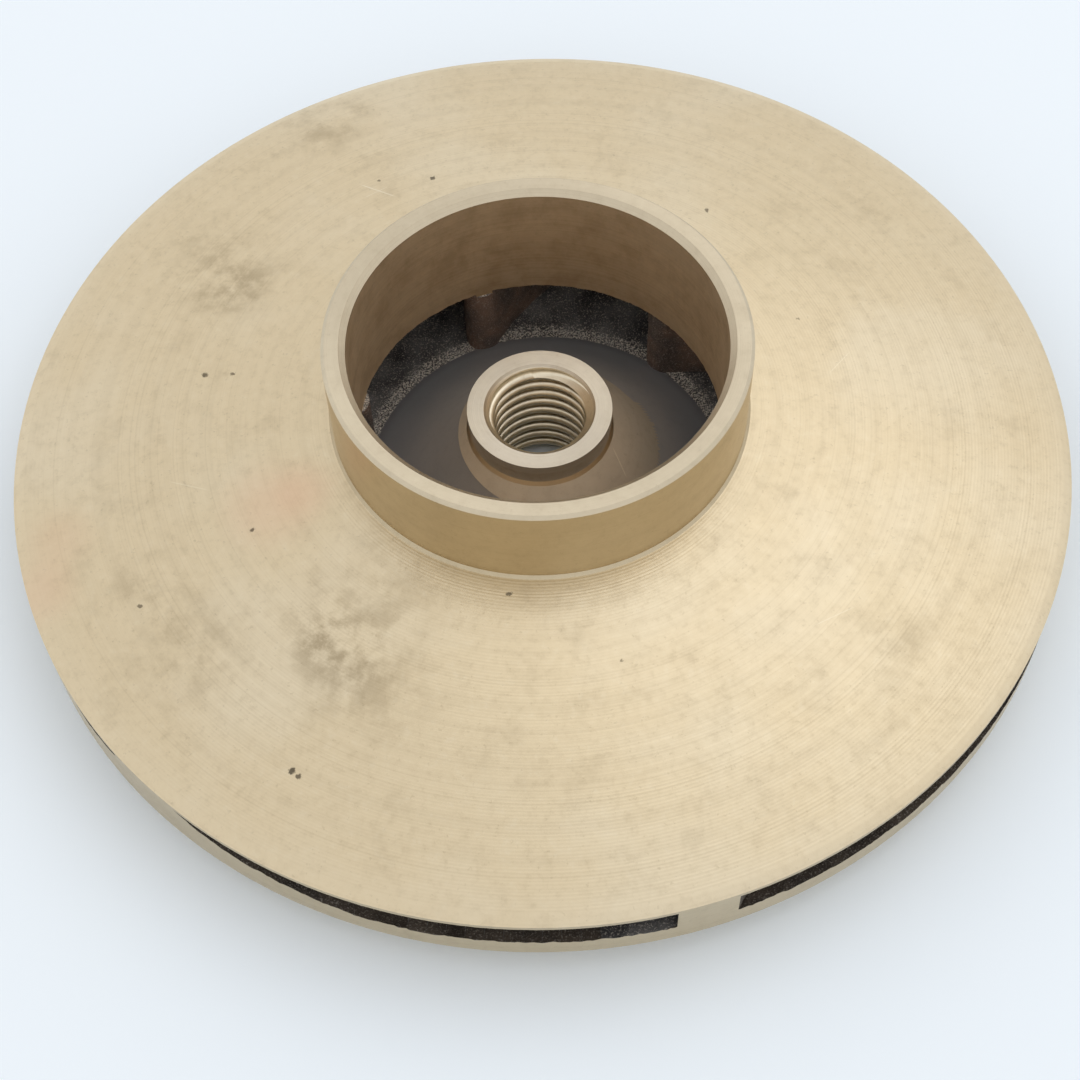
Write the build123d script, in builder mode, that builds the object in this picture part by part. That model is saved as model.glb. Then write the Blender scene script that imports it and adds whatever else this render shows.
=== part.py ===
from build123d import *
from math import cos, exp, log, radians, sin
import os

# A closed centrifugal pump impeller, cast in bronze in one piece with its water
# passages cored, then turned outside, in the eye and round the hub nose, and
# tapped right through for the shaft. All sizes are in millimetres.
# The turned axis is Z. Z = 0 is the end of the back hub, and +Z is the suction side.
# Bearings are in degrees, clockwise from +Y as seen from the suction side.

# Turned outside
outer_radius = 95.0
back_hub_radius = 20.0
back_hub_height = 7.0
back_hub_fillet = 3.0
back_rim_thickness = 5.0
outlet_width = 5.2
lip_thickness = 1.2
lip_bevel_width = 2.1
lip_bevel_height = 1.1
front_rise = 7.9
neck_radius = 36.9
neck_height = 17.8
neck_root_fillet = 1.2
rim_edge_radius = 0.8
edge_chamfer = 0.6

# Turned eye and hub nose
eye_radius = 32.8
eye_bevel = 1.1
nose_radius = 13.0
nose_height = 24.8
nose_band_height = 1.8
nose_neck_radius = 12.5
nose_root_radius = 2.4
spot_face_height = 14.0
spot_face_radius = 24.0

# Shaft thread, 3/4 inch with 10 threads to the inch: the wall is the thread's root
thread_major_radius = 9.525
thread_chamfer = 0.5

# Core for the inside, which sat off the turned axis by core_shift when the metal was poured
core_shift = 3.0
core_eye_radius = 29.6
core_eye_round = 4.6
core_ceiling_rise = 2.0
core_ceiling_radius = 40.0
core_pad_radius = 25.0
core_pad_step = 0.8
core_pad_slope = 0.176
core_boss_radius = 14.0

# Backward curved vanes, alike and evenly spaced round the core's axis
vane_count = 5
vane_wrap = 117.0
vane_tip_bearing = 166.0
vane_tip_thickness = 5.2
vane_nose_thickness = 5.8
vane_nose_radius = 26.5
vane_nose_lean = 0.9
vane_overrun = 1.08
vane_stations = 8
vane_overlap = 1.0

# A run of flash that half closes the mouth of one passage
flash_bearing = 216.0
flash_depth = 9.0
flash_outline = [(31, 11), (24, 12.6), (12, 13.8), (0, 15.6), (-9, 18), (-19, 18), (-21, 16.6), (-33, 15.6), (-33, 11)]

# Heights that follow from the sizes above
back_face = back_hub_height
floor_height = back_face + back_rim_thickness
ceiling_height = floor_height + outlet_width
lip_height = ceiling_height + lip_thickness
face_height = lip_height + lip_bevel_height
neck_root = face_height + front_rise
neck_top = neck_root + neck_height
eye_ceiling = ceiling_height + core_ceiling_rise
eye_floor = eye_ceiling - 0.6
core_reach = outer_radius * vane_overrun
spiral_growth = log(outer_radius / vane_nose_radius) / radians(vane_wrap)


def vane_point(radius, side, thickness):
    """A point beside the vane's camber line, a logarithmic spiral that keeps one angle to the rim."""
    bearing = radians(vane_tip_bearing) + log(radius / outer_radius) / spiral_growth
    along = Vector(
        spiral_growth * sin(bearing) + cos(bearing),
        spiral_growth * cos(bearing) - sin(bearing),
    ).normalized()
    camber = Vector(radius * sin(bearing), radius * cos(bearing))
    return camber + along.rotate(Axis.Z, 90) * (side * thickness / 2)


def vane_side(nose, side):
    """Points along one side of a vane, from its nose out past the rim, which trims it."""
    points = []
    for station in range(vane_stations):
        share = station / (vane_stations - 1)
        thickness = vane_nose_thickness + (vane_tip_thickness - vane_nose_thickness) * share
        radius = nose * (core_reach * vane_overrun / nose) ** share
        points.append(vane_point(radius, side, thickness))
    return points


def vane_section(height):
    """The vane's section at a height: its nose stands further out towards the suction side."""
    nose = vane_nose_radius + (height - floor_height) * vane_nose_lean
    inner = vane_side(nose, 1)
    outer = vane_side(nose, -1)
    middle = (inner[0] + outer[0]) / 2
    across = inner[0] - middle
    tip = middle + across.rotate(Axis.Z, 90)
    with BuildSketch(Plane.XY.offset(height)) as section:
        with BuildLine():
            Spline(*inner)
            Line(inner[-1], outer[-1])
            Spline(*outer)
            ThreePointArc(inner[0], tip, outer[0])
        make_face()
    return section.sketch


def is_thread_mouth(edge):
    """The two ends of the tapped hole."""
    return abs(edge.radius - thread_major_radius) < 0.01


# One vane, lofted from below the passage floor to above its ceiling
vane_bottom = vane_section(floor_height - vane_overlap)
vane_top = vane_section(eye_ceiling + core_eye_round)

with BuildPart() as vane:
    add(vane_bottom)
    add(vane_top)
    loft(ruled=True)

# The sand core: the eye, the pad round the hub and the space between the shrouds, less the vanes
with BuildPart() as core:
    with BuildSketch(Plane.XZ):
        with BuildLine():
            pad_top = floor_height + core_pad_step + (core_pad_radius - core_boss_radius) * core_pad_slope
            Polyline(
                (core_reach, ceiling_height),
                (core_reach, floor_height),
                (core_pad_radius, floor_height),
                (core_pad_radius, floor_height + core_pad_step),
                (core_boss_radius, pad_top),
                (core_boss_radius, neck_top + 1),
                (core_eye_radius, neck_top + 1),
                (core_eye_radius, eye_ceiling + core_eye_round),
            )
            RadiusArc(
                (core_eye_radius, eye_ceiling + core_eye_round),
                (core_eye_radius + core_eye_round, eye_ceiling),
                core_eye_round,
            )
            Polyline(
                (core_eye_radius + core_eye_round, eye_ceiling),
                (core_ceiling_radius, eye_ceiling),
                (core_reach, ceiling_height),
            )
        make_face()
    revolve(axis=Axis.Z)
    with PolarLocations(0, vane_count):
        add(vane.part, mode=Mode.SUBTRACT)

# Metal that had run into the core's mouth and closes part of one passage at the rim
with BuildPart() as flash:
    with BuildSketch(Plane.XZ.offset(outer_radius - flash_depth)):
        with BuildLine():
            Polyline(*flash_outline, close=True)
        make_face()
    extrude(amount=flash_depth)
    Cylinder(outer_radius, neck_top * 2, mode=Mode.INTERSECT)

# What the lathe takes from the eye, the face round the hub and the hub nose
with BuildPart() as turned_eye:
    with BuildSketch(Plane.XZ):
        with BuildLine():
            Polyline(
                (0, neck_top),
                (eye_radius + eye_bevel, neck_top),
                (eye_radius, neck_top - eye_bevel),
                (eye_radius, eye_floor),
                (spot_face_radius, eye_floor),
                (spot_face_radius, spot_face_height),
                (nose_neck_radius + nose_root_radius, spot_face_height),
            )
            RadiusArc(
                (nose_neck_radius + nose_root_radius, spot_face_height),
                (nose_neck_radius, spot_face_height + nose_root_radius),
                nose_root_radius,
            )
            Polyline(
                (nose_neck_radius, spot_face_height + nose_root_radius),
                (nose_neck_radius, nose_height - nose_band_height - nose_radius + nose_neck_radius),
                (nose_radius, nose_height - nose_band_height),
                (nose_radius, nose_height),
                (0, nose_height),
                (0, neck_top),
            )
        make_face()
    revolve(axis=Axis.Z)

# The casting as turned outside
with BuildPart() as impeller:
    with BuildSketch(Plane.XZ):
        with BuildLine():
            Polyline(
                (0, 0),
                (back_hub_radius, 0),
                (back_hub_radius, back_face),
                (outer_radius, back_face),
                (outer_radius, lip_height),
                (outer_radius - lip_bevel_width, face_height),
                (neck_radius, neck_root),
                (neck_radius, neck_top),
                (0, neck_top),
                close=True,
            )
        make_face()
    revolve(axis=Axis.Z)
    rings = impeller.edges().filter_by(GeomType.CIRCLE)
    back_root = rings.filter_by_position(Axis.Z, back_face, back_face).sort_by(SortBy.RADIUS)[0]
    fillet(back_root, back_hub_fillet)
    rings = impeller.edges().filter_by(GeomType.CIRCLE)
    neck_seam = rings.filter_by_position(Axis.Z, neck_root, neck_root)
    fillet(neck_seam, neck_root_fillet)
    rings = impeller.edges().filter_by(GeomType.CIRCLE)
    rim_edge = rings.filter_by_position(Axis.Z, back_face, back_face).sort_by(SortBy.RADIUS)[-1]
    fillet(rim_edge, rim_edge_radius)
    chamfer(impeller.edges().group_by(Axis.Z)[0], edge_chamfer)
    fillet(impeller.edges().group_by(Axis.Z)[-1], edge_chamfer)
    add(turned_eye.part, mode=Mode.SUBTRACT)
    with Locations((core_shift, 0)):
        add(core.part, mode=Mode.SUBTRACT)
    with Locations(Rotation(0, 0, 180 - flash_bearing)):
        add(flash.part)
    Hole(thread_major_radius)
    mouths = impeller.edges().filter_by(GeomType.CIRCLE).filter_by(is_thread_mouth)
    chamfer(mouths, thread_chamfer)

impeller.part.label = "impeller"
os.makedirs("parts", exist_ok=True)
export_step(impeller.part, "parts/impeller.step")
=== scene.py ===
import math
import bmesh
import bpy
from mathutils import Matrix, Vector, noise


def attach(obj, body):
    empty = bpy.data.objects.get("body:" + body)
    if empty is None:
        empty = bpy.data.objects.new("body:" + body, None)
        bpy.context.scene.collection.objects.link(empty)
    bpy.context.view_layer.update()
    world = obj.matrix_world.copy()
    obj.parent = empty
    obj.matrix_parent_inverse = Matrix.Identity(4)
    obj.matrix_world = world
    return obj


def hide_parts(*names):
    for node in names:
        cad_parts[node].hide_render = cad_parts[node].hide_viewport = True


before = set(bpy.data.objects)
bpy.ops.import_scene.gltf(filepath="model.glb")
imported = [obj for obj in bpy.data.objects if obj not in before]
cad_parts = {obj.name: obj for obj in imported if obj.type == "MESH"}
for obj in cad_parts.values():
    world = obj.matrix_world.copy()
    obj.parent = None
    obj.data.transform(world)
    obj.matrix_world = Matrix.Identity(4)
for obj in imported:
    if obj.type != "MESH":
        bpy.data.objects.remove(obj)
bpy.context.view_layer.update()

mm = 0.001

# Radii and heights of the casting in millimetres: the rim, face, neck and bore are the solid's.
# noseRoot is the round at the foot of the nose, each point out from its neck and up from the cone
shape = {
    "rim": 95.0, "backRim": 7.0, "rimEdge": 0.8, "hubRadius": 33.0, "hubStep": 0.8, "edge": 0.6,
    "floor": 12.0, "ceiling": 17.2, "lip": 18.4, "face": 19.5, "faceEdge": 92.9,
    "neck": 36.9, "neckRoot": 27.4, "neckTop": 45.2, "neckRootEdge": 0.5, "neckRootDrop": 0.07,
    "eye": 32.8, "eyeFoot": 19.1, "eyeBevel": 1.1, "coneTop": 32.85, "coneReach": 21.7,
    "nose": 13.0, "noseTop": 24.8, "noseBand": 1.8, "noseNeck": 12.5,
    "noseRoot": [(0.8, -0.8), (0.25, -0.15), (0.0, 0.6)],
    "bore": 9.525, "countersink": 0.5,
}


class Wire:
    # A socket that takes part in Python sums
    def __init__(self, bench, socket):
        self.bench = bench
        self.socket = socket

    def sum(self, operation, *others):
        return self.bench.node("ShaderNodeMath", {"operation": operation}, [self, *others])

    def __add__(self, other):
        return self.sum("ADD", other)

    def __mul__(self, other):
        return self.sum("MULTIPLY", other)

    def __sub__(self, other):
        return self.sum("SUBTRACT", other)

    def __truediv__(self, other):
        return self.sum("DIVIDE", other)

    def __pow__(self, other):
        return self.sum("POWER", other)

    def __rsub__(self, other):
        return self.bench.node("ShaderNodeMath", {"operation": "SUBTRACT"}, [other, self])

    def __rtruediv__(self, other):
        return self.bench.node("ShaderNodeMath", {"operation": "DIVIDE"}, [other, self])

    __radd__ = __add__
    __rmul__ = __mul__


class Bench:
    # A material's node tree and the few ways of adding to it
    def __init__(self, tree):
        self.tree = tree
        tree.nodes.clear()

    def node(self, kind, settings=None, values=None, output=0):
        made = self.tree.nodes.new(kind)
        for key, value in (settings or {}).items():
            setattr(made, key, value)
        pairs = values.items() if isinstance(values, dict) else enumerate(values or [])
        for key, value in pairs:
            if isinstance(value, Wire):
                self.tree.links.new(value.socket, made.inputs[key])
            else:
                made.inputs[key].default_value = value
        return Wire(self, made.outputs[output]) if made.outputs else None

    def place(self):
        # Object coordinates in millimetres
        coordinates = self.node("ShaderNodeTexCoord", output=3)
        return self.node("ShaderNodeVectorMath", {"operation": "SCALE"}, {0: coordinates, "Scale": 1 / mm})

    def axes(self, vector):
        apart = self.tree.nodes.new("ShaderNodeSeparateXYZ")
        self.tree.links.new(vector.socket, apart.inputs[0])
        return [Wire(self, output) for output in apart.outputs]

    def grain(self, vector, scale, detail=3.0, roughness=0.5):
        values = {"Vector": vector, "Scale": scale, "Detail": detail, "Roughness": roughness}
        return self.node("ShaderNodeTexNoise", {}, values)

    def lines(self, value, scale, detail=2.0):
        values = {"W": value, "Scale": scale, "Detail": detail}
        return self.node("ShaderNodeTexNoise", {"noise_dimensions": "1D"}, values)

    def fade(self, value, low, high):
        return self.node("ShaderNodeMapRange", {"interpolation_type": "SMOOTHSTEP"}, [value, low, high])

    def mix(self, factor, first, second, blend="MIX"):
        settings = {"data_type": "RGBA", "blend_type": blend}
        return self.node("ShaderNodeMix", settings, {0: factor, 6: first, 7: second}, output=2)

    def bump(self, height, strength, distance):
        return self.node("ShaderNodeBump", {}, {"Height": height, "Strength": strength, "Distance": distance})

    def finish(self, values):
        shader = self.node("ShaderNodeBsdfPrincipled", {}, values)
        self.node("ShaderNodeOutputMaterial", {}, {"Surface": shader})


def newMaterial(name):
    made = bpy.data.materials.new(name)
    made.use_nodes = True
    return made, Bench(made.node_tree)


def spots(bench, vector, marks, softness, ragged=0.0):
    # Marks at given places, as one mask: ragged is the noise that bends their outlines
    flat = bench.node("ShaderNodeVectorMath", {"operation": "MULTIPLY"}, [vector, (1, 1, 0)])
    total = 0.0
    for x, y, radius, strength in marks:
        away = bench.node("ShaderNodeVectorMath", {"operation": "DISTANCE"}, [flat, (x, y, 0)], output=1)
        total = total + (1 - bench.fade(away + ragged, radius * softness, radius)) * strength
    return total


def hairlines(bench, vector, scratches):
    # Straight scratches between two given points, as one mask that fades at their ends
    x, y = bench.axes(vector)[:2]
    total = 0.0
    for start, end, width, strength in scratches:
        along = (Vector(end) - Vector(start)).normalized()
        length = (Vector(end) - Vector(start)).length
        forward = (x - start[0]) * along.x + (y - start[1]) * along.y
        aside = ((x - start[0]) * along.y - (y - start[1]) * along.x).sum("ABSOLUTE")
        within = bench.fade(forward, 0.0, length * 0.2) * (1 - bench.fade(forward, length * 0.8, length))
        total = total + (1 - bench.fade(aside, width * 0.5, width * 1.5)) * within * strength
    return total


# Noise scales are per millimetre. Depths are shares of the bump's distance, which is in metres
turnedFace = {
    "colour": (0.76, 0.63, 0.425, 1), "copper": (0.78, 0.52, 0.35, 1), "stain": (0.36, 0.28, 0.17, 1),
    "pale": (0.82, 0.715, 0.53, 1), "scratch": (0.92, 0.84, 0.68, 1), "pit": (0.05, 0.04, 0.03, 1),
    "metallic": 1.0, "roughness": 0.44, "anisotropy": 0.55, "mottle": 1.0,
    "cloudScale": 0.03, "smearScale": 0.16, "speckScale": 1.3, "hazeScale": 0.55,
    "fineLines": 3.2, "coarseLines": 0.45, "grooveStep": 0.5, "grooveDepth": 0.3,
    "bumpStrength": 0.22, "bumpDistance": 0.0001, "edgeFrom": 88.0, "edgeTo": 93.0,
    # x, y, radius and strength of each mark in millimetres
    "stains": [
        (-60, 37, 15, 0.55), (-55, 30, 10, 0.5), (-38, -45, 9, 0.6), (-34, -49, 12, 0.55),
        (-28, -55, 14, 0.45), (-41, 76, 12, 0.5), (-67, -33, 10, 0.45), (-60, -46, 14, 0.45),
        (-34, -40, 13, 0.35), (-23, -40, 11, 0.3), (54, 33, 8, 0.25), (65, 46, 7, 0.25), (59, -48, 7, 0.25),
    ],
    "pits": [
        (-41.8, -68.2, 0.75, 0.9), (-40.6, -69.2, 0.6, 0.8), (-60.7, 10.7, 0.7, 0.8), (-55.5, 10.1, 0.5, 0.7),
        (-19.3, 57.1, 0.6, 0.8), (-6.1, -39.7, 0.5, 0.7), (-50.1, -23.9, 0.5, 0.8), (-30.0, 57.5, 0.4, 0.6),
        (-69.0, -36.5, 0.5, 0.7), (33.3, 45.9, 0.6, 0.7), (12.0, -52.0, 0.35, 0.5), (48.0, 18.0, 0.4, 0.5),
    ],
    "copperPatches": [(-47, -19, 12, 0.6), (-87, -32, 9, 0.6), (-41, -17, 8, 0.45), (-85, -22, 9, 0.4)],
    # both ends of each hairline scratch, its width and its strength
    "scratches": [
        ((-34, 57), (-26, 52), 0.10, 0.8), ((-33, 52.5), (-28, 55.5), 0.07, 0.6),
        ((12.8, -4.8), (15.4, -9.2), 0.10, 0.9), ((-66, -12), (-58, -15), 0.08, 0.5),
        ((52, 5), (57, 11), 0.07, 0.5), ((44, -46), (52, -42), 0.08, 0.4),
    ],
}
# Painted shade: the upright turned walls of the rim and neck get a darker copy of the face's bronze, for the
# shade on walls that face sideways
shadedTurnedSide = {
    **turnedFace, "colour": (0.58, 0.48, 0.32, 1), "pale": (0.64, 0.54, 0.38, 1),
    "roughness": 0.40, "grooveStep": 0.4,
}
turnedRing = {
    **turnedFace, "colour": (0.68, 0.585, 0.43, 1), "roughness": 0.46, "grooveStep": 0.4, "mottle": 0.6,
}
turnedHub = {
    **turnedFace, "colour": (0.66, 0.58, 0.46, 1), "roughness": 0.40, "grooveStep": 0.35, "mottle": 0.6,
}
turnedCone = {
    **turnedFace, "colour": (0.66, 0.58, 0.46, 1), "pale": (0.70, 0.62, 0.50, 1), "roughness": 0.55,
    "metallic": 0.6, "anisotropy": 0.2, "grooveStep": 0.5, "grooveDepth": 0.1,
}
eyeBore = {
    **turnedFace, "colour": (0.80, 0.61, 0.39, 1), "pale": (0.82, 0.66, 0.45, 1),
    "tarnish": (0.46, 0.31, 0.17, 1), "roughness": 0.52, "anisotropy": 0.3, "metallic": 0.85,
    "grooveStep": 0.6, "grooveDepth": 0.25,
}
threadSkin = {
    **turnedFace, "colour": (0.80, 0.70, 0.53, 1), "pale": (0.84, 0.76, 0.61, 1), "roughness": 0.36,
    "anisotropy": 0.0, "grooveDepth": 0.0,
}


def makeTurned(name, kit, marked=False, dark=0.0):
    # Lathe grooves round the axis under a mottled colour, with the marks of use or a tarnish over it
    material, bench = newMaterial(name)
    place = bench.place()
    x, y, z = bench.axes(place)
    radius = (x * x + y * y) ** 0.5
    mottle = kit["mottle"]
    cloud = bench.grain(place, kit["cloudScale"], 4.0)
    smear = bench.grain(place, kit["smearScale"], 5.0, 0.65)
    speck = bench.grain(place, kit["speckScale"], 3.0, 0.6)
    haze = bench.grain(place, kit["hazeScale"], 5.0, 0.7)
    fine = bench.lines(radius + z * 0.7, kit["fineLines"], 3.0)
    coarse = bench.lines(radius + z * 0.7, kit["coarseLines"], 2.0)
    groove = ((radius + z) * (2 * math.pi / kit["grooveStep"])).sum("SINE") * 0.5 + 0.5
    turning = bench.fade(coarse, 0.4, 0.8) * 0.08 + bench.fade(fine, 0.5, 0.85) * 0.10
    colour = bench.mix(bench.fade(cloud, 0.45, 0.72) * 0.5, kit["colour"], kit["pale"])
    colour = bench.mix(turning, colour, kit["stain"])
    colour = bench.mix(bench.fade(smear, 0.5, 0.75) * 0.16 * mottle, colour, kit["stain"])
    colour = bench.mix(bench.fade(speck, 0.62, 0.72) * 0.22 * mottle, colour, kit["stain"])
    colour = bench.mix(bench.fade(haze, 0.48, 0.78) * 0.20 * mottle, colour, kit["stain"])
    colour = bench.mix(bench.fade(haze, 0.48, 0.28) * 0.25 * mottle, colour, kit["pale"])
    rough = fine * 0.10 + smear * 0.12 + haze * 0.10 + (kit["roughness"] - 0.16)
    if marked:
        torn = bench.fade(smear, 0.36, 0.62)
        stains = (spots(bench, place, kit["stains"], 0.1) * torn).sum("MINIMUM", 1.0)
        pits = spots(bench, place, kit["pits"], 0.5, (speck - 0.5) * 1.6).sum("MINIMUM", 1.0)
        copper = spots(bench, place, kit["copperPatches"], 0.1).sum("MINIMUM", 1.0)
        hair = hairlines(bench, place, kit["scratches"]).sum("MINIMUM", 1.0)
        edge = bench.fade(radius, kit["edgeFrom"], kit["edgeTo"])
        for mask, tint in ((copper * 0.6, "copper"), (edge * 0.15, "pale"), (stains * 0.6, "stain"),
                           (hair * 0.7, "scratch"), (pits * 0.85, "pit")):
            colour = bench.mix(mask, colour, kit[tint])
        rough = rough + stains * 0.12 + pits * 0.3
    if dark:
        streak = bench.lines(z, 1.4, 4.0)
        tarnish = bench.fade(streak, 0.35, 0.7) * 0.12 + bench.fade(smear, 0.35, 0.7) * 0.35
        tarnish = (tarnish + bench.fade(cloud, 0.4, 0.6) * 0.3 + dark).sum("MINIMUM", 1.0)
        colour = bench.mix(tarnish, colour, kit["tarnish"])
        rough = rough + tarnish * 0.08
    height = groove * kit["grooveDepth"] + fine * 0.4 + coarse * 0.1 + haze * 0.9 * mottle
    bench.finish({
        "Base Color": colour, "Metallic": kit["metallic"], "Roughness": rough,
        "Normal": bench.bump(height, kit["bumpStrength"], kit["bumpDistance"]),
        "Anisotropic": kit["anisotropy"],
    })
    return material


castSkin = {
    "dark": (0.045, 0.041, 0.040, 1), "grey": (0.19, 0.18, 0.17, 1), "spark": (0.70, 0.63, 0.54, 1),
    "redDark": (0.10, 0.075, 0.062, 1), "red": (0.24, 0.15, 0.105, 1),
    "brownDark": (0.045, 0.034, 0.026, 1), "brown": (0.10, 0.075, 0.052, 1),
    "roughness": 0.62, "metallic": 0.35, "cloudScale": 0.12, "sandScale": 1.6, "gritScale": 3.2,
    "bumpStrength": 0.8, "bumpDistance": 0.0004, "coreShift": 0.8, "glintRadius": 34.3,
}


def makeCast(name, kit, tint, base, sparkle, line=0.0):
    # A sand cast skin, with bright specks that are partly bare metal grains and partly painted glints where
    # they catch the light
    material, bench = newMaterial(name)
    place = bench.place()
    cloud = bench.grain(place, kit["cloudScale"], 4.0)
    sand = bench.grain(place, kit["sandScale"], 4.0, 0.7)
    grit = bench.grain(place, kit["gritScale"], 3.0, 0.65)
    colour = bench.mix(bench.fade(cloud, 0.35, 0.7), base, tint)
    # Painted glints on specks of bare metal: pale base colour where the grit and sand noise peak
    sparks = bench.fade(grit, 0.52, 0.66) * bench.fade(sand, 0.38, 0.60) * sparkle
    if line:
        # A painted highlight: a bright line of glints where the smooth pad stops
        x, y = bench.axes(place)[:2]
        inward = x - kit["coreShift"]
        reach = (inward * inward + y * y) ** 0.5 + (cloud - 0.5) * 2.5
        padEdgeGlint = 1 - bench.fade((reach - kit["glintRadius"]).sum("ABSOLUTE"), 0.3, 2.6)
        sparks = (sparks + padEdgeGlint * bench.fade(grit, 0.42, 0.6) * line).sum("MINIMUM", 1.0)
    colour = bench.mix(sparks, colour, kit["spark"])
    bench.finish({
        "Base Color": colour, "Metallic": kit["metallic"],
        "Roughness": sand * 0.25 + (kit["roughness"] - 0.15),
        "Normal": bench.bump(sand + grit * 0.4, kit["bumpStrength"], kit["bumpDistance"]),
    })
    return material


# Painted shade: low is the pad's colour low down and rim its colour at the outer edge, both darker than high,
# its colour higher up
padSkin = {
    "low": (0.38, 0.375, 0.38, 1), "high": (0.50, 0.48, 0.46, 1), "rim": (0.24, 0.23, 0.23, 1),
    "roughness": 0.42, "metallic": 0.55, "cloudScale": 0.16, "smearScale": 0.5,
    "bumpStrength": 0.35, "bumpDistance": 0.00012,
    "coreShift": 0.8, "foot": 3.0, "top": 10.5, "shadeFrom": 31.0, "shadeTo": 33.6,
}


def makePad(name, kit):
    # The smooth skin round the hub, with painted shade: darker low down, and darker and greyer towards its
    # outer edge under the bore
    material, bench = newMaterial(name)
    place = bench.place()
    x, y, z = bench.axes(place)
    inward = x - kit["coreShift"]
    reach = (inward * inward + y * y) ** 0.5
    cloud = bench.grain(place, kit["cloudScale"], 4.0)
    smear = bench.grain(place, kit["smearScale"], 4.0, 0.6)
    # Painted shade: darker the lower the pad lies
    height = bench.fade(z + (cloud - 0.5) * 3, kit["foot"], kit["top"])
    colour = bench.mix(height, kit["low"], kit["high"])
    colour = bench.mix(bench.fade(smear, 0.5, 0.8) * 0.35, colour, kit["low"])
    # Painted shade: darker and greyer towards the pad's outer edge
    colour = bench.mix(bench.fade(reach, kit["shadeFrom"], kit["shadeTo"]) * 0.5, colour, kit["rim"])
    bench.finish({
        "Base Color": colour, "Metallic": kit["metallic"], "Roughness": smear * 0.2 + kit["roughness"],
        "Normal": bench.bump(smear + cloud * 0.5, kit["bumpStrength"], kit["bumpDistance"]),
    })
    return material


finishes = {
    "face": makeTurned("turnedFace", turnedFace, marked=True),
    "turned": makeTurned("shadedTurnedSides", shadedTurnedSide),
    "ring": makeTurned("turnedNeckTop", turnedRing, marked=True),
    "hub": makeTurned("turnedHub", turnedHub, marked=True),
    "cone": makeTurned("turnedCone", turnedCone, marked=True),
    "eye": makeTurned("turnedEye", eyeBore, dark=0.12),
    "back": makeTurned("turnedBack", turnedFace),
    "thread": makeTurned("shaftThread", threadSkin),
    "floor": makeCast("sandCastFloor", castSkin, castSkin["grey"], castSkin["dark"], 0.7, line=0.9),
    "vane": makeCast("sandCastVane", castSkin, castSkin["red"], castSkin["redDark"], 0.35),
    "mouth": makeCast("sandCastMouth", castSkin, castSkin["brown"], castSkin["brownDark"], 0.3),
    "pad": makePad("smoothCastPad", padSkin),
}
finishOrder = list(finishes)  # the order of the material slots
castNames = {"floor", "vane", "mouth", "pad"}
print("materials made")


# The sand core stood a little off the turned axis. The hub sweeps down from the nose in one hollow arc
coreKit = {
    "shift": 0.8, "reach": 102.6, "ceilingRise": 2.5, "ceilingRadius": 40.0, "padRadius": 33.5,
    "hubRadius": 14.0, "eyeRadius": 29.6, "arcRadius": 34.56, "arcCentre": (45.44, 35.43), "arcSteps": 9,
}
# Each vane's wall starts at a round post, a little thicker and taller than the wall is
vaneKit = {
    "count": 6, "wrap": 64.5, "tipBearing": 166.0, "thickness": 6.6, "noseRadius": 36.0, "tipRadius": 110.0,
    "foot": -2.0, "top": 29.0, "stations": 40, "postSides": 48, "postShare": 0.51, "postProud": 0.4,
    "weld": 0.001,
}
# Metal that had run into the mouths: bearing, then distance along the rim and height of its outline
flashKit = {
    "depth": 9.0, "overhang": 4.0, "trimFoot": -5.0, "trimTop": 60.0,
    "runs": [
        (216, [(31, 11), (24, 12.6), (12, 13.8), (0, 15.6), (-9, 18), (-19, 18), (-21, 16.6), (-33, 15.6),
               (-33, 11)]),
        (249, [(24, 11), (24, 15.6), (20, 17.8), (-12, 17.8), (-24, 13), (-24, 11)]),
    ],
}
# Steps are the longest edges that the cast skins keep, by how far out they lie
casting = {
    "sides": 192, "weld": 0.0005, "rounds": 6, "sharpAngle": 32.0,
    "padStep": 2.2, "eyeStep": 1.8, "mouthStep": 2.4, "lipStep": 0.8, "hiddenStep": 9.0,
    "eyeTo": 45.0, "lipFrom": 87.0, "mouthFrom": 80.0,
    "sandDepth": 0.14, "sandScale": 0.9, "swellScale": 0.16, "grainScale": 1.1,
    "lowerLip": 0.9, "upperLip": 0.10, "eyeLip": 0.4,
}


def bakeModifiers(source, name):
    graph = bpy.context.evaluated_depsgraph_get()
    data = bpy.data.meshes.new_from_object(source.evaluated_get(graph), depsgraph=graph)
    data.name = name
    return data


def newObject(name, points, faces):
    data = bpy.data.meshes.new(name)
    data.from_pydata([tuple(value * mm for value in point) for point in points], [], faces)
    mesh = bmesh.new()
    mesh.from_mesh(data)
    bmesh.ops.recalc_face_normals(mesh, faces=mesh.faces)
    mesh.to_mesh(data)
    mesh.free()
    made = bpy.data.objects.new(name, data)
    bpy.context.collection.objects.link(made)
    return made


def lathe(name, profile, shift=0.0, sides=casting["sides"]):
    # A closed solid turned from pairs of radius and height; a radius of 0 is one point on the axis
    points, faces, rings = [], [], []
    for radius, height in profile:
        count = sides if radius else 1
        rings.append([len(points) + side % count for side in range(sides)])
        for side in range(count):
            turn = 2 * math.pi * side / sides
            points.append((shift + radius * math.cos(turn), radius * math.sin(turn), height))
    for first, second in zip(rings, rings[1:] + rings[:1]):
        for side in range(sides):
            after = (side + 1) % sides
            corners = list(dict.fromkeys([first[side], first[after], second[after], second[side]]))
            if len(corners) > 2:
                faces.append(corners)
    return newObject(name, points, faces)


def combine(base, tool, operation, solver="MANIFOLD"):
    # One solid cut by, joined to or kept inside another, which is used up
    change = base.modifiers.new("cut", "BOOLEAN")
    change.operation = operation
    change.solver = solver
    change.object = tool
    old = base.data
    base.data = bakeModifiers(base, old.name)
    base.modifiers.clear()
    bpy.data.meshes.remove(old)
    bpy.data.objects.remove(tool)
    print(operation.lower(), len(base.data.polygons))


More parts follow.
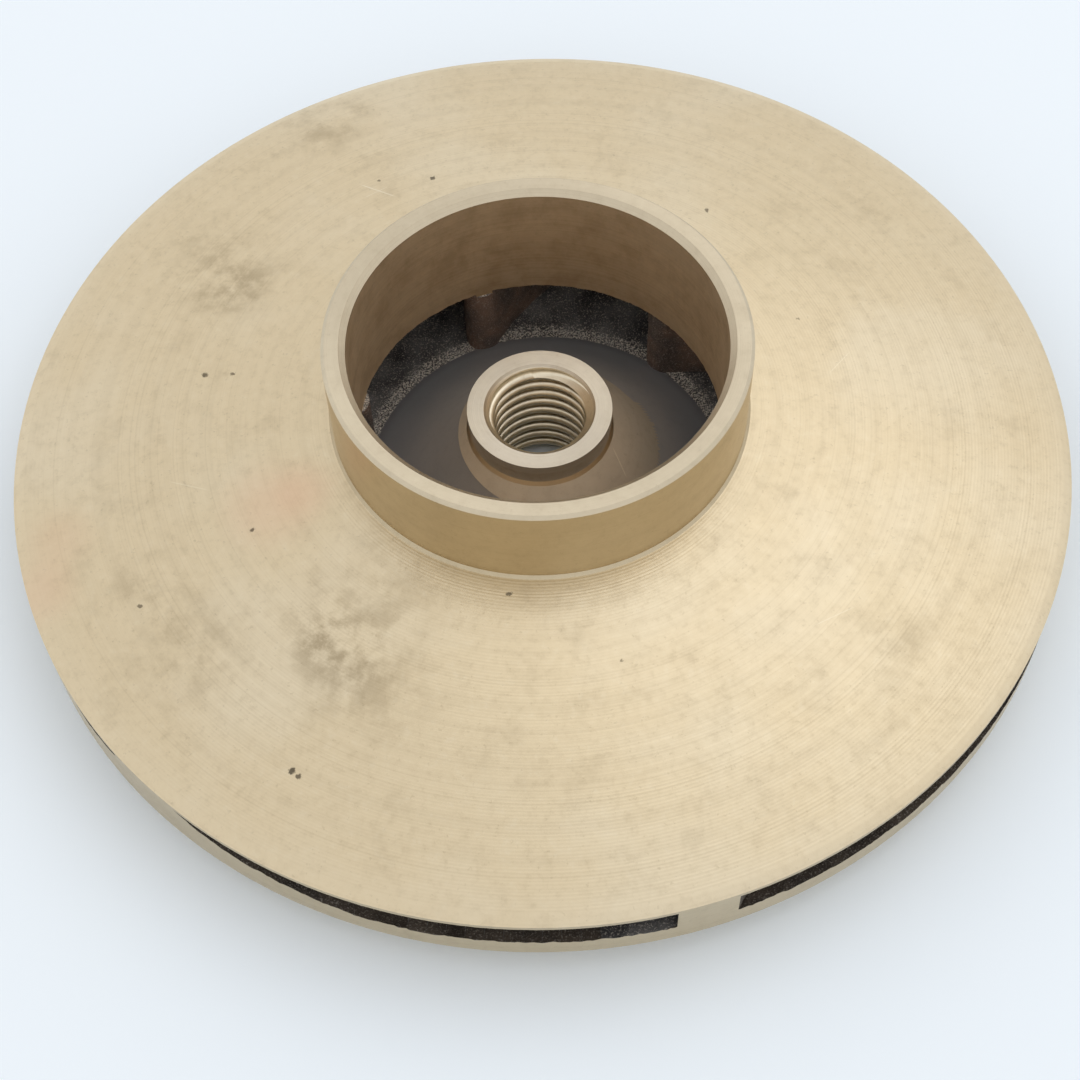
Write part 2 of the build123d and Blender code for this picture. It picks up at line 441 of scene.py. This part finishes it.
def newTree(name, sizes):
    # A Geometry Nodes tree with a named input for each size and one for the finish
    tree = bpy.data.node_groups.new(name, "GeometryNodeTree")
    face = tree.interface
    face.new_socket("Geometry", in_out="OUTPUT", socket_type="NodeSocketGeometry")
    for label, value in sizes.items():
        kind = "NodeSocketInt" if isinstance(value, int) else "NodeSocketFloat"
        face.new_socket(label, in_out="INPUT", socket_type=kind).default_value = value
    finish = face.new_socket("Finish", in_out="INPUT", socket_type="NodeSocketMaterial")
    bench = Bench(tree)
    entry = tree.nodes.new("NodeGroupInput")
    wire = {socket.name: Wire(bench, socket) for socket in entry.outputs if socket.name}
    return bench, wire, finish.identifier


def endTree(bench, wire, made):
    real = bench.node("GeometryNodeRealizeInstances", {}, [made])
    dressed = bench.node("GeometryNodeSetMaterial", {}, {"Geometry": real, "Material": wire["Finish"]})
    bench.node("NodeGroupOutput", {}, [dressed])


def runTree(name, tree, finishInput, finish):
    # The tree's result as an object with a plain mesh
    made = bpy.data.objects.new(name, bpy.data.meshes.new(name + "Seed"))
    bpy.context.collection.objects.link(made)
    modifier = made.modifiers.new(name, "NODES")
    modifier.node_group = tree
    modifier[finishInput] = finish
    made.data = bakeModifiers(made, name)
    made.modifiers.clear()
    return made


def vaneTree(kit):
    # Backward curved vanes: one upright wall along a logarithmic spiral, repeated round the core's axis
    growth = math.log(shape["rim"] / kit["noseRadius"]) / math.radians(kit["wrap"])
    bench, wire, finishInput = newTree("vaneRing", {
        "Nose radius": kit["noseRadius"] * mm, "Tip radius": kit["tipRadius"] * mm,
        "Rim radius": shape["rim"] * mm, "Spiral growth": growth,
        "Tip bearing": math.radians(kit["tipBearing"]),
        "Thickness": kit["thickness"] * mm, "Foot": kit["foot"] * mm,
        "Height": (kit["top"] - kit["foot"]) * mm, "Vanes": kit["count"]})

    def spiralPoint(radius):
        back = (radius / wire["Rim radius"]).sum("LOGARITHM", math.e) / wire["Spiral growth"]
        bearing = wire["Tip bearing"] + back
        middle = wire["Foot"] + wire["Height"] * 0.5
        return bench.node("ShaderNodeCombineXYZ", {}, [
            radius * bearing.sum("SINE"), radius * bearing.sum("COSINE"), middle])

    line = bench.node("GeometryNodeCurvePrimitiveLine", {}, {"Start": (0, 0, 0), "End": (1, 0, 0)})
    steps = bench.node("GeometryNodeResampleCurve", {}, {"Curve": line, "Count": kit["stations"]})
    share = bench.node("ShaderNodeSeparateXYZ", {}, [bench.node("GeometryNodeInputPosition")])
    radius = wire["Nose radius"] * (wire["Tip radius"] / wire["Nose radius"]) ** share
    camber = bench.node("GeometryNodeSetPosition", {}, {"Geometry": steps, "Position": spiralPoint(radius)})
    upright = bench.node("GeometryNodeSetCurveNormal", {"mode": "Z_UP"}, {"Curve": camber})
    section = bench.node("GeometryNodeCurvePrimitiveQuadrilateral", {}, {
        "Width": wire["Thickness"], "Height": wire["Height"]})
    wall = bench.node("GeometryNodeCurveToMesh", {}, {
        "Curve": upright, "Profile Curve": section, "Fill Caps": True})
    post = bench.node("GeometryNodeMeshCylinder", {}, {
        "Vertices": kit["postSides"], "Radius": wire["Thickness"] * kit["postShare"],
        "Depth": wire["Height"] + kit["postProud"] * mm})
    nose = bench.node("GeometryNodeTransform", {}, {
        "Geometry": post, "Translation": spiralPoint(wire["Nose radius"])})
    both = bench.node("GeometryNodeMeshBoolean", {"operation": "UNION", "solver": "MANIFOLD"})
    for part in (nose, wall):
        bench.tree.links.new(part.socket, both.socket.node.inputs[1])
    posts = bench.node("GeometryNodePoints", {}, {"Count": wire["Vanes"]})
    turn = bench.node("GeometryNodeInputIndex") * (2 * math.pi) / wire["Vanes"]
    ring = bench.node("GeometryNodeInstanceOnPoints", {}, {
        "Points": posts, "Instance": both,
        "Rotation": bench.node("ShaderNodeCombineXYZ", {}, [0.0, 0.0, turn])})
    endTree(bench, wire, ring)
    return bench.tree, finishInput


def makeVanes(kit):
    tree, finishInput = vaneTree(kit)
    made = runTree("vaneRing", tree, finishInput, finishes["vane"])
    mesh = bmesh.new()
    mesh.from_mesh(made.data)
    bmesh.ops.remove_doubles(mesh, verts=mesh.verts, dist=kit["weld"] * mm)
    bmesh.ops.recalc_face_normals(mesh, faces=mesh.faces)
    mesh.transform(Matrix.Translation((coreKit["shift"] * mm, 0, 0)))
    mesh.to_mesh(made.data)
    mesh.free()
    print("vanes", len(made.data.polygons), [round(value / mm, 1) for value in made.dimensions])
    return made


def flashRun(bearing, outline):
    # A block across one mouth, cut off flush with the rim
    near, far = shape["rim"] - flashKit["depth"], shape["rim"] + flashKit["overhang"]
    points = [(along, -reach, height) for reach in (near, far) for along, height in outline]
    count = len(outline)
    faces = [list(range(count)), list(range(count, 2 * count))]
    faces += [[step, (step + 1) % count, (step + 1) % count + count, step + count] for step in range(count)]
    turn = Matrix.Rotation(math.radians(180 - bearing), 3, "Z")
    block = newObject("flashRun", [tuple(turn @ Vector(point)) for point in points], faces)
    radius, foot, top = shape["rim"], flashKit["trimFoot"], flashKit["trimTop"]
    combine(block, lathe("rimTrim", [(0, foot), (radius, foot), (radius, top), (0, top)]), "INTERSECT")
    return block


def hubArc():
    # The cast sweep of the hub, from the edge of the smooth pad up to the nose
    c = coreKit
    points = []
    width = c["hubRadius"] - c["padRadius"]
    for step in range(c["arcSteps"]):
        radius = c["padRadius"] + width * step / (c["arcSteps"] - 1)
        away = c["arcCentre"][0] - radius
        points.append((radius, c["arcCentre"][1] - math.sqrt(c["arcRadius"] ** 2 - away ** 2)))
    return points


def buildCasting():
    # The blank as turned outside, less the core, the eye and the shaft's hole. Tools stand past it by spare
    s, c, spare = shape, coreKit, 1.0
    backSlope = (s["backRim"] - s["hubStep"]) / (s["rim"] - s["hubRadius"])
    body = lathe("impellerCasting", [
        (0, 0), (s["hubRadius"] - s["edge"], 0), (s["hubRadius"], s["edge"]), (s["hubRadius"], s["hubStep"]),
        (s["rim"] - s["rimEdge"], s["backRim"] - s["rimEdge"] * backSlope),
        (s["rim"], s["backRim"] + s["rimEdge"]), (s["rim"], s["lip"]), (s["faceEdge"], s["face"]),
        (s["neck"] + s["neckRootEdge"], s["neckRoot"] - s["neckRootDrop"]),
        (s["neck"], s["neckRoot"] + s["neckRootEdge"]), (s["neck"], s["neckTop"] - s["edge"]),
        (s["neck"] - s["edge"], s["neckTop"]), (0, s["neckTop"])])
    above = s["ceiling"] + c["ceilingRise"]
    core = lathe("core", [
        (c["reach"], s["ceiling"]), (c["reach"], s["floor"]), (s["rim"], s["floor"]), *hubArc(),
        (c["hubRadius"], s["neckTop"] + spare), (c["eyeRadius"], s["neckTop"] + spare),
        (c["eyeRadius"], above), (c["ceilingRadius"], above)], c["shift"])
    combine(core, makeVanes(vaneKit), "DIFFERENCE")
    combine(body, core, "DIFFERENCE")
    top = s["neckTop"] + 2 * spare
    bandFoot = s["noseTop"] - s["noseBand"]
    coneRoot = s["coneTop"] - s["noseNeck"]
    eyeTool = lathe("eyeTool", [
        (0, top), (s["eye"] + s["eyeBevel"] + 2 * spare, top), (s["eye"], s["neckTop"] - s["eyeBevel"]),
        (s["eye"], s["eyeFoot"]), (s["coneReach"], s["eyeFoot"]),
        (s["coneReach"], s["coneTop"] - s["coneReach"]),
        *[(s["noseNeck"] + out, coneRoot + up) for out, up in s["noseRoot"]],
        (s["noseNeck"], bandFoot - s["nose"] + s["noseNeck"]), (s["nose"], bandFoot),
        (s["nose"], s["noseTop"]), (0, s["noseTop"])])
    combine(body, eyeTool, "DIFFERENCE")
    for bearing, outline in flashKit["runs"]:
        combine(body, flashRun(bearing, outline), "UNION")
    wide = s["bore"] + s["countersink"] + spare
    drill = lathe("drill", [
        (0, -spare), (wide, -spare), (s["bore"], s["countersink"]),
        (s["bore"], s["noseTop"] - s["countersink"]), (wide, s["noseTop"] + spare),
        (0, s["noseTop"] + spare)])
    combine(body, drill, "DIFFERENCE")
    return body


def zoneOf(point, normal):
    # Which finish a face has, from the surface that it lies on, give or take a few tenths
    radius = math.hypot(point.x, point.y)
    z = point.z
    coreRadius = math.hypot(point.x - coreKit["shift"], point.y)
    upright = abs(normal.z) < 0.3
    if radius < shape["bore"] + 0.6 and z < shape["noseTop"] - 0.6 and abs(normal.z) < 0.9:
        return "thread"
    if z < shape["hubStep"] + 0.02 or (normal.z < -0.3 and z < shape["floor"]):
        return "back"
    if radius > shape["rim"] - 0.25 and upright:
        return "turned"
    if radius > shape["neck"] + 0.8 and z > shape["lip"] and normal.z > 0.4:
        return "face"
    if z > shape["neckTop"] - 1.2 and normal.z > 0.3:
        return "ring"
    if radius > shape["neck"] - 0.3 and z > shape["neckRoot"] - 0.3:
        return "turned"
    if abs(radius - shape["eye"]) < 0.15 and z > shape["eyeFoot"] and upright:
        return "eye"
    if radius < shape["nose"] + 0.4 and z > shape["eyeFoot"] - 0.2:
        return "hub" if normal.z > 0.5 else "cone"
    if abs(z + radius - shape["coneTop"]) < 0.06 and normal.z > 0.5 and radius < shape["coneReach"] + 0.1:
        return "cone"
    if coreRadius < coreKit["padRadius"] + 0.05 and normal.z > 0.2 and z < shape["eyeFoot"] - 0.05:
        return "pad"
    if radius > casting["mouthFrom"]:
        return "mouth"
    return "floor" if abs(normal.z) > 0.3 else "vane"


def stepFor(zones, reach):
    # The longest edge that each part of the cast skins keeps
    if reach > casting["lipFrom"]:
        return casting["lipStep"] if zones - castNames else casting["mouthStep"]
    if reach < casting["eyeTo"]:
        return casting["padStep"] if zones <= {"pad", "hub"} else casting["eyeStep"]
    return casting["hiddenStep"]


def splitLongEdges(mesh):
    # Cast skins get enough points to be made lumpy, and the turned ones stay as they are
    for _ in range(casting["rounds"]):
        chosen = []
        for edge in mesh.edges:
            zones = {finishOrder[face.material_index] for face in edge.link_faces}
            middle = (edge.verts[0].co + edge.verts[1].co) / 2
            if zones & castNames and edge.calc_length() > stepFor(zones, math.hypot(middle.x, middle.y)):
                chosen.append(edge)
        if not chosen:
            break
        bmesh.ops.subdivide_edges(mesh, edges=chosen, cuts=1)
        bmesh.ops.triangulate(mesh, faces=[face for face in mesh.faces if len(face.verts) > 3])


def dropDoubles(mesh):
    # Two faces on the same three points, left by the splitting of slivers, close nothing
    found = {}
    for face in mesh.faces:
        found.setdefault(frozenset(vertex.index for vertex in face.verts), []).append(face)
    doubles = [face for faces in found.values() if len(faces) > 1 for face in faces]
    bmesh.ops.delete(mesh, geom=doubles, context="FACES")
    return len(doubles)


def roughenCast(mesh):
    # Sand leaves the cored walls lumpy, and the slot's lips ragged where they were cut
    mesh.normal_update()
    moves = []
    for vertex in mesh.verts:
        zones = {finishOrder[face.material_index] for face in vertex.link_faces}
        if not zones & castNames:
            continue
        lump = noise.fractal(vertex.co * casting["sandScale"], 0.8, 2.2, 4)
        swell = noise.noise(vertex.co * casting["swellScale"]) * 0.5
        grain = noise.noise(vertex.co * casting["grainScale"])
        radius = math.hypot(vertex.co.x, vertex.co.y)
        if zones - castNames:
            push = Vector((0, 0, 0))
            if radius > shape["rim"] - 0.2:
                lower = vertex.co.z < shape["ceiling"] - 0.6
                ragged = casting["lowerLip"] if lower else casting["upperLip"]
                push.z = (lump * 0.5 + swell + grain * 0.25) * ragged
            elif abs(radius - shape["eye"]) < 0.1:
                push.z = (lump * 0.5 + swell) * casting["eyeLip"]
        elif "pad" in zones:
            rise = (lump + swell) * 0.6 if zones - {"pad"} else swell * 0.4
            push = vertex.normal * (casting["sandDepth"] * rise)
        else:
            push = vertex.normal * (casting["sandDepth"] * (lump + swell + grain * 0.5))
        moves.append((vertex, push))
    for vertex, push in moves:
        vertex.co += push


def markSharp(mesh):
    # Shading stays apart across a corner and between turned and cast skins
    limit = math.radians(casting["sharpAngle"])
    for face in mesh.faces:
        face.smooth = abs(face.normal.z) < 0.9999
    for edge in mesh.edges:
        faces = edge.link_faces
        differ = len(faces) == 2 and faces[0].material_index != faces[1].material_index
        edge.smooth = not (differ or len(faces) != 2 or edge.calc_face_angle(0.0) > limit)


def openEdges(mesh):
    return sum(len(edge.link_faces) != 2 for edge in mesh.edges)


def makeCasting():
    # The mesh is worked on in millimetres, and goes back to metres at the end
    made = buildCasting()
    mesh = bmesh.new()
    mesh.from_mesh(made.data)
    for vertex in mesh.verts:
        vertex.co /= mm
    bmesh.ops.remove_doubles(mesh, verts=mesh.verts, dist=casting["weld"])
    bmesh.ops.triangulate(mesh, faces=mesh.faces)
    mesh.normal_update()
    print("open edges before splitting", openEdges(mesh))
    for face in mesh.faces:
        face.material_index = finishOrder.index(zoneOf(face.calc_center_median(), face.normal))
    mesh.verts.index_update()
    print("double faces dropped before splitting", dropDoubles(mesh))
    splitLongEdges(mesh)
    mesh.verts.index_update()
    print("double faces dropped after splitting", dropDoubles(mesh))
    counts = {}
    for face in mesh.faces:
        name = finishOrder[face.material_index]
        counts[name] = counts.get(name, 0) + 1
    print("finishes on the casting", counts, "open edges", openEdges(mesh))
    roughenCast(mesh)
    mesh.normal_update()
    markSharp(mesh)
    for vertex in mesh.verts:
        vertex.co *= mm
    made.data.materials.clear()
    mesh.to_mesh(made.data)
    mesh.free()
    for name in finishOrder:
        made.data.materials.append(finishes[name])
    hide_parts("impeller")
    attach(made, "root")
    print("casting", len(made.data.polygons), "faces")


makeCasting()

# The ridge is sunk into the wall of the hole, and fills the room between the hole's two countersinks
threadKit = {
    "pitch": 2.54, "root": 9.525, "crest": 8.2, "crestFlat": 0.5, "rootFlat": 0.35, "sink": 0.12,
    "stepsPerTurn": 72, "from": -2.0, "to": 27.0,
    "countersink": 10.025, "roomSides": 96, "roomInside": 1.5, "roomGap": 0.02,
}


def threadTree(kit):
    wall = kit["root"] + kit["sink"]
    bench, wire, finishInput = newTree("threadRidge", {
        "Pitch": kit["pitch"] * mm, "Root radius": wall * mm, "Ridge height": (wall - kit["crest"]) * mm,
        "Start height": kit["from"] * mm, "End height": kit["to"] * mm,
        "Crest flat": kit["crestFlat"] * mm, "Root flat": kit["rootFlat"] * mm})
    height = wire["End height"] - wire["Start height"]
    spiral = bench.node("GeometryNodeCurveSpiral", {}, {
        "Resolution": kit["stepsPerTurn"], "Rotations": height / wire["Pitch"],
        "Start Radius": wire["Root radius"], "End Radius": wire["Root radius"], "Height": height})
    upright = bench.node("GeometryNodeSetCurveNormal", {"mode": "Z_UP"}, {"Curve": spiral})
    # The ridge's section: x stands in from the wall, and y runs along it
    half = wire["Pitch"] * 0.5 - wire["Root flat"] * 0.5
    flat = wire["Crest flat"] * 0.5
    corners = {}
    for along, inward in ((half * -1.0, 0.0), (flat * -1.0, wire["Ridge height"]),
                          (flat, wire["Ridge height"]), (half, 0.0)):
        corner = bench.node("ShaderNodeCombineXYZ", {}, [inward, along, 0.0])
        corners["Point " + str(len(corners) + 1)] = corner
    section = bench.node("GeometryNodeCurvePrimitiveQuadrilateral", {"mode": "POINTS"}, corners)
    ridge = bench.node("GeometryNodeCurveToMesh", {}, {
        "Curve": upright, "Profile Curve": section, "Fill Caps": True})
    lift = bench.node("ShaderNodeCombineXYZ", {}, [0.0, 0.0, wire["Start height"]])
    raised = bench.node("GeometryNodeTransform", {}, {"Geometry": ridge, "Translation": lift})
    endTree(bench, wire, raised)
    return bench.tree, finishInput


def threadRoom(kit):
    # What the hole holds: out to just inside the metal, between the two countersinks
    outer, inner = kit["root"] + kit["sink"] - kit["roomGap"], kit["crest"] - kit["roomInside"]
    top, foot = shape["noseTop"] - kit["countersink"], kit["countersink"]
    return lathe("threadRoom", [
        (inner, foot - inner), (outer, foot - outer), (outer, top + outer), (inner, top + inner)],
        sides=kit["roomSides"])


def makeThread(kit):
    tree, finishInput = threadTree(kit)
    made = runTree("shaftThread", tree, finishInput, finishes["thread"])
    combine(made, threadRoom(kit), "INTERSECT", "EXACT")
    heights = [point.co.z / mm for point in made.data.vertices]
    radii = [math.hypot(point.co.x, point.co.y) / mm for point in made.data.vertices]
    print("thread from", round(min(heights), 2), "to", round(max(heights), 2),
          "radius", round(min(radii), 3), round(max(radii), 3))
    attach(made, "root")


makeThread(threadKit)

# Sizes and places are in metres here
studio = {
    "floorColour": (0.90, 0.955, 1.0, 1), "floorSize": 3.0,
    "keyEnergy": 3.2, "keySize": 1.5, "keyPlace": (0.69, 0.45, 1.50),
    "worldTop": (0.87, 0.88, 0.895, 1), "worldLow": (0.92, 0.93, 0.945, 1), "worldStrength": 1.0,
}


def makeFloor():
    data = bpy.data.meshes.new("floor")
    half = studio["floorSize"]
    corners = [(-half, -half, 0), (half, -half, 0), (half, half, 0), (-half, half, 0)]
    data.from_pydata(corners, [], [(0, 1, 2, 3)])
    made = bpy.data.objects.new("floor", data)
    material, bench = newMaterial("paleFloor")
    bench.finish({"Base Color": studio["floorColour"], "Roughness": 0.7, "Specular IOR Level": 0.2})
    data.materials.append(material)
    bpy.context.collection.objects.link(made)


def makeWorld():
    world = bpy.data.worlds.new("studio")
    bpy.context.scene.world = world
    world.use_nodes = True
    bench = Bench(world.node_tree)
    direction = bench.node("ShaderNodeTexCoord", output=0)
    height = bench.axes(direction)[2]
    sky = bench.mix(bench.fade(height, -0.1, 0.9), studio["worldLow"], studio["worldTop"])
    light = bench.node("ShaderNodeBackground", {}, {"Color": sky, "Strength": studio["worldStrength"]})
    plain = bench.node("ShaderNodeBackground", {}, {"Color": (1, 1, 1, 1), "Strength": 1.0})
    seen = bench.node("ShaderNodeLightPath", output=0)
    both = bench.node("ShaderNodeMixShader", {}, [seen, light, plain])
    bench.node("ShaderNodeOutputWorld", {}, {"Surface": both})


def makeKey():
    lamp = bpy.data.lights.new("key", "AREA")
    lamp.shape = "DISK"
    lamp.size = studio["keySize"]
    lamp.energy = studio["keyEnergy"]
    made = bpy.data.objects.new("key", lamp)
    made.location = studio["keyPlace"]
    made.rotation_euler = (-Vector(studio["keyPlace"])).to_track_quat("-Z", "Y").to_euler()
    bpy.context.collection.objects.link(made)


# The camera looks at the axis at the height of the front lip, then is turned a little in hand
cameraKit = {
    "elevation": 54.29, "distance": 0.34647, "lookHeight": 0.0172, "lens": 63.333,
    "yaw": 0.12, "pitch": -3.22, "roll": 1.90,
}


def makeCamera(kit):
    data = bpy.data.cameras.new("camera")
    data.sensor_width = 36
    data.lens = kit["lens"]
    made = bpy.data.objects.new("camera", data)
    bpy.context.collection.objects.link(made)
    elevation = math.radians(kit["elevation"])
    place = Vector((0, -math.cos(elevation), math.sin(elevation))) * kit["distance"]
    towards = (-place).to_track_quat("-Z", "Y").to_matrix().to_4x4()
    turn = Matrix.Rotation(math.radians(kit["yaw"]), 4, "Y")
    turn = turn @ Matrix.Rotation(math.radians(kit["pitch"]), 4, "X")
    turn = turn @ Matrix.Rotation(-math.radians(kit["roll"]), 4, "Z")
    made.matrix_world = Matrix.Translation(place + Vector((0, 0, kit["lookHeight"]))) @ towards @ turn
    bpy.context.scene.camera = made


makeFloor()
makeWorld()
makeKey()
makeCamera(cameraKit)
bpy.context.scene.view_settings.view_transform = "Standard"
print("stage made")
